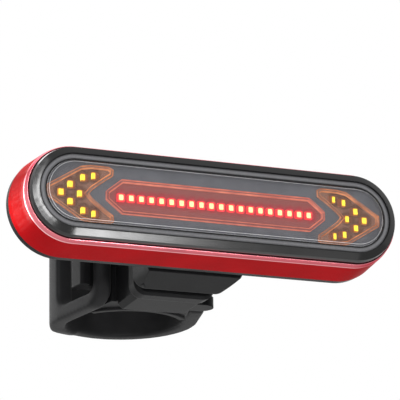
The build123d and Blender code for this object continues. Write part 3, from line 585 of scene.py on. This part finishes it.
def soft_copy(name, node_name, material, body):
    """Soft moulded piece: the node's own form, ready for its edges, which stands for the node."""
    mesh = NODES[node_name].data.copy()
    mesh.name = name
    form = bmesh.new()
    form.from_mesh(mesh)
    bmesh.ops.remove_doubles(form, verts=form.verts, dist=WELD)
    bmesh.ops.dissolve_limit(form, angle_limit=radians(FLAT_ANGLE), verts=form.verts,
                             edges=form.edges)
    for face in form.faces:
        face.smooth = True
        face.material_index = 0
    form.to_mesh(mesh)
    form.free()
    mesh.materials.clear()
    mesh.materials.append(material)
    piece = bpy.data.objects.new(name, mesh)
    bpy.context.scene.collection.objects.link(piece)
    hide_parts(node_name)
    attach(piece, body)
    return piece


class DressHousing(bpy.types.Operator):
    """Ring, bezel, lens, mask, board, seals, screws and rear cover"""
    bl_idname = "turn_light.housing"
    bl_label = "Housing"

    def execute(self, context):
        settings = context.scene.turn_light_housing
        ring = anodised_aluminium("anodised_aluminium_blasted", settings.ring_colour,
                                  linear("#B4020C"), coat=0.11, smooth=0.4, rough=0.5)
        # The bevel is the ring's metal, smoother, in a paler pink that is painted light for its
        # face turned to the lamps.
        painted_light_bevel = anodised_aluminium("anodised_aluminium_bevel_painted_light", settings.bevel_painted_light_colour,
                                 linear("#D06A72"), coat=0.15, smooth=0.16, rough=0.24,
                                 painted_highlight_line=True)
        band = part_dress("trim_ring", ring, painted_light_bevel, RING_LOW.y, RING_LOW.y + RING_BEVEL_DEPTH)
        soften(band, settings.edge_round)

        gloss = abs_high_gloss("abs_high_gloss", settings.shell_colour)
        satin = abs_high_gloss("abs_satin_gloss", settings.shell_colour, smooth=0.2, rough=0.32,
                               shine=0.04)
        bead = abs_moulded_bead(settings.bead_colour)
        bead_face = BEZEL_FRONT + BEAD_DEPTH
        bezel = part_dress("front_bezel", gloss, bead, bead_face, bead_face)
        soften(bezel, BEZEL_EDGE_SHARE * settings.edge_round)
        soften(dress("rear_cover", satin), settings.edge_round)

        lens = polycarbonate_smoked("polycarbonate_smoked", settings.lens_colour, LENS_SOLID)
        # The lens's edge is a near-white copy of the lens: a painted highlight along its chamfer.
        lens_edge_highlight = polycarbonate_smoked("polycarbonate_edge_painted_highlight", linear("#E2E2E4"),
                                         LENS_HIGHLIGHT_SOLID, smooth=0.2)
        soften(dress("front_lens", lens, lens_edge_highlight), LENS_EDGE, segments=1, edge_material=1)
        grey = nylon_spark_textured("abs_spark_textured", linear("#74767C"), MASK_GRAIN)
        soften(dress("lamp_mask", grey), MASK_EDGE)
        crisp(dress("lamp_board", soldermask_board()))
        rubber = silicone_rubber_moulded("silicone_seal", linear("#141415"))
        for seal in ("lens_seal", "cover_seal"):
            crisp(dress(seal, rubber))
        crisp(dress("cover_screws", plated_metal("steel_zinc_plated_small", "#C4C4C2")))
        return {"FINISHED"}


class DressLamps(bpy.types.Operator):
    """Lamps and the clear guides that glow in front of them"""
    bl_idname = "turn_light.lamps"
    bl_label = "Lamps and guides"

    def execute(self, context):
        settings = context.scene.turn_light_lamps
        groups = (
            ("red_lamps", "bar_guide", red_places(), settings.red_colour, RED_LIT),
            ("left_amber_lamps", "left_arrow_guide", amber_places("left_arrow_guide", -1),
             settings.amber_colour, AMBER_LIT),
            ("right_amber_lamps", "right_arrow_guide", amber_places("right_arrow_guide", 1),
             settings.amber_colour, AMBER_LIT),
        )
        for lamps, guide, places, colour, (core, rim, near, far, bright, dim) in groups:
            crisp(dress(lamps, lamp_package(lamps + "_package", places, core, colour, rim)))
            sheet = lit_guide(guide + "_acrylic", places, near, far, settings.glow_reach)
            edge = glowing_edge(guide + "_cut_edge", bright, dim)
            soften(dress(guide, sheet, edge), settings.edge_width, segments=1, edge_material=1)
        return {"FINISHED"}


class DressInside(bpy.types.Operator):
    """Battery, radio, switch and charging socket"""
    bl_idname = "turn_light.inside"
    bl_label = "Inside"

    def execute(self, context):
        nickel = plated_metal("steel_nickel_plated", "#CFCFCC")
        for name, material in (
                ("battery", plated_metal("aluminium_pouch_foil", "#B9BABC", FOIL_GRAIN)),
                ("battery_foam", foam_closed_cell()),
                ("radio_module", plated_metal("steel_tinned_can", "#C9C9C8")),
                ("antenna", nickel),
                ("charging_socket", nickel),
                ("button_switch", nylon_spark_textured("nylon_switch_body", linear("#18181A")))):
            crisp(dress(name, material))
        return {"FINISHED"}


class DressBack(bpy.types.Operator):
    """Rubber port flap and power button on the back"""
    bl_idname = "turn_light.back"
    bl_label = "Port flap and button"

    def execute(self, context):
        settings = context.scene.turn_light_bracket
        rubber = silicone_rubber_moulded("silicone_flap_and_button", settings.rubber_colour)
        flap = soft_copy("port_flap_rubber", "port_flap", rubber, "port_flap")
        soften(flap, FLAP_EDGE, angle=SOFT_EDGE_ANGLE)
        button = soft_copy("power_button_rubber", "power_button", rubber, "power_button")
        soften(button, BUTTON_EDGE, segments=3, angle=SOFT_EDGE_ANGLE)
        return {"FINISHED"}


class DressBracket(bpy.types.Operator):
    """Receiver, saddle and their fasteners"""
    bl_idname = "turn_light.bracket"
    bl_label = "Bracket"

    def execute(self, context):
        settings = context.scene.turn_light_bracket
        nylon = nylon_spark_textured("nylon_spark_textured", settings.plastic_colour)
        soften(dress("receiver", nylon), RECEIVER_EDGE, segments=3)
        soften(dress("saddle", nylon), SADDLE_EDGE, segments=3)
        steel = plated_metal("steel_zinc_plated", "#BDBDBB")
        for node in ("receiver_bolts", "receiver_nuts", "strap_pin"):
            crisp(dress(node, steel))
        return {"FINISHED"}


class MakeStrap(bpy.types.Operator):
    """Rubber strap and the saddle's pad"""
    bl_idname = "turn_light.strap"
    bl_label = "Strap and pad"

    def execute(self, context):
        settings = context.scene.turn_light_bracket
        rubber = silicone_rubber_moulded("silicone_rubber_moulded", settings.rubber_colour)
        strap = soft_copy("strap_rubber", "strap", rubber, "bracket")
        mould(strap, settings.strap_round, STRAP_GRID)
        pad = soft_copy("saddle_pad_rubber", "saddle_pad", rubber, "bracket")
        soften(pad, PAD_EDGE, angle=SOFT_EDGE_ANGLE)
        return {"FINISHED"}


def area_light(name, place, target, width, height, power):
    """Rectangular lamp at place that looks at target."""
    data = bpy.data.lights.new(name, "AREA")
    data.shape = "RECTANGLE"
    data.size = width
    data.size_y = height
    data.energy = power
    lamp = bpy.data.objects.new(name, data)
    bpy.context.scene.collection.objects.link(lamp)
    lamp.location = place
    lamp.rotation_euler = (Vector(target) - Vector(place)).to_track_quat("-Z", "Y").to_euler()


class SetStage(bpy.types.Operator):
    """Floor, world, studio lights and camera"""
    bl_idname = "turn_light.stage"
    bl_label = "Stage"

    def execute(self, context):
        settings = context.scene.turn_light_stage
        scene = context.scene
        scene.view_settings.view_transform = "Standard"
        self.make_floor(scene, settings)
        self.make_world(scene)
        self.make_lights()
        self.make_camera(scene, settings)
        return {"FINISHED"}

    def make_floor(self, scene, settings):
        """Painted board: even and matt, and paler to the eye than to the light that it bounces."""
        mesh = bpy.data.meshes.new("floor")
        form = bmesh.new()
        bmesh.ops.create_grid(form, x_segments=FLOOR_CELLS, y_segments=FLOOR_CELLS,
                              size=FLOOR_HALF)
        form.to_mesh(mesh)
        form.free()
        floor = bpy.data.objects.new("floor", mesh)
        floor.location = (0, 0, settings.floor_drop)
        scene.collection.objects.link(floor)
        material, tree = new_material("painted_board")
        tone = clouded(tree, grain(tree, FLOOR_CLOUDS), settings.floor_colour, 0.97, 1.0)
        board = add_node(tree, "ShaderNodeBsdfPrincipled", {"Roughness": 0.8},
                         {"Base Color": tone})
        pale = add_node(tree, "ShaderNodeEmission", {"Color": linear("#FFFFFF"), "Strength": 1.0})
        share = add_node(tree, "ShaderNodeMath", {"operation": "MULTIPLY", 1: FLOOR_PALENESS},
                         {0: seen_directly(tree)})
        shader = add_node(tree, "ShaderNodeMixShader", links={0: share, 1: board, 2: pale})
        add_node(tree, "ShaderNodeOutputMaterial", links={"Surface": shader})
        mesh.materials.append(material)

    def make_world(self, scene):
        """Soft even light, and plain white where the world is seen."""
        world = bpy.data.worlds.new("studio")
        scene.world = world
        world.use_nodes = True
        tree = world.node_tree
        tree.nodes.clear()
        soft, white = (add_node(tree, "ShaderNodeBackground",
                                {"Color": linear("#FFFFFF"), "Strength": strength})
                       for strength in (WORLD_STRENGTH, 1.0))
        mix = add_node(tree, "ShaderNodeMixShader",
                       links={0: seen_directly(tree), 1: soft, 2: white})
        add_node(tree, "ShaderNodeOutputWorld", links={"Surface": mix})

    def make_lights(self):
        for name, panels, width in (("left_front_panel", FRONT_PANELS, FRONT_WIDTH),
                                    ("left_back_panel", BACK_PANELS, BACK_WIDTH)):
            for index, (place, height, radiance) in enumerate(panels):
                area_light(f"{name}_{index}", place, LIGHT_MIDDLE, width, height,
                           radiance * pi * width * height)
        for index, (x, width, power) in enumerate(LOW_STRIPS):
            area_light(f"low_front_strip_{index}", (x, STRIP_Y, STRIP_Z),
                       (x - STRIP_LEAN, LOW_EDGE_Y, LOW_EDGE_Z), width, STRIP_HEIGHT, power)
        for name, place, target, side, power in SOFTBOXES:
            area_light(name, place, target, side, side, power)

    def make_camera(self, scene, settings):
        yaw, pitch, roll = radians(VIEW_YAW), radians(VIEW_PITCH), radians(VIEW_ROLL)
        ahead = Vector((sin(yaw) * cos(pitch), cos(yaw) * cos(pitch), sin(pitch)))
        level = Vector((cos(yaw), -sin(yaw), 0))
        rise = level.cross(ahead)
        right = level * cos(roll) + rise * sin(roll)
        above = rise * cos(roll) - level * sin(roll)
        data = bpy.data.cameras.new("camera")
        data.sensor_width = SENSOR_MM
        data.lens = FOCAL_PIXELS / IMAGE_PIXELS * SENSOR_MM
        data.shift_x, data.shift_y = (shift / IMAGE_PIXELS for shift in SHIFT_PIXELS)
        camera = bpy.data.objects.new("camera", data)
        scene.collection.objects.link(camera)
        place = VIEW_TARGET - ahead * settings.distance
        rows = Matrix((right, above, -ahead)).transposed()
        camera.matrix_world = Matrix.Translation(place) @ rows.to_4x4()
        scene.camera = camera


OPERATORS = (DressHousing, DressLamps, DressInside, DressBack, DressBracket, MakeStrap, SetStage)
SETTINGS = (("turn_light_housing", HousingSettings), ("turn_light_lamps", LampSettings),
            ("turn_light_bracket", BracketSettings), ("turn_light_stage", StageSettings))


class TurnLightPanel(bpy.types.Panel):
    """Settings and steps of the turn signal light"""
    bl_idname = "VIEW3D_PT_turn_light"
    bl_label = "Turn signal light"
    bl_space_type = "VIEW_3D"
    bl_region_type = "UI"
    bl_category = "Turn signal light"

    def draw(self, context):
        for name, group in SETTINGS:
            values = getattr(context.scene, name)
            box = self.layout.box()
            for key in group.__annotations__:
                box.prop(values, key)
        for operator in OPERATORS:
            self.layout.operator(operator.bl_idname)


def register():
    for name, group in SETTINGS:
        bpy.utils.register_class(group)
        setattr(bpy.types.Scene, name, PointerProperty(type=group))
    for item in (*OPERATORS, TurnLightPanel):
        bpy.utils.register_class(item)


def unregister():
    for item in (*OPERATORS, TurnLightPanel):
        bpy.utils.unregister_class(item)
    for name, group in SETTINGS:
        delattr(bpy.types.Scene, name)
        bpy.utils.unregister_class(group)


def main():
    register()
    for operator in OPERATORS:
        group, step = operator.bl_idname.split(".")
        getattr(getattr(bpy.ops, group), step)()


if __name__ == "__main__":
    main()
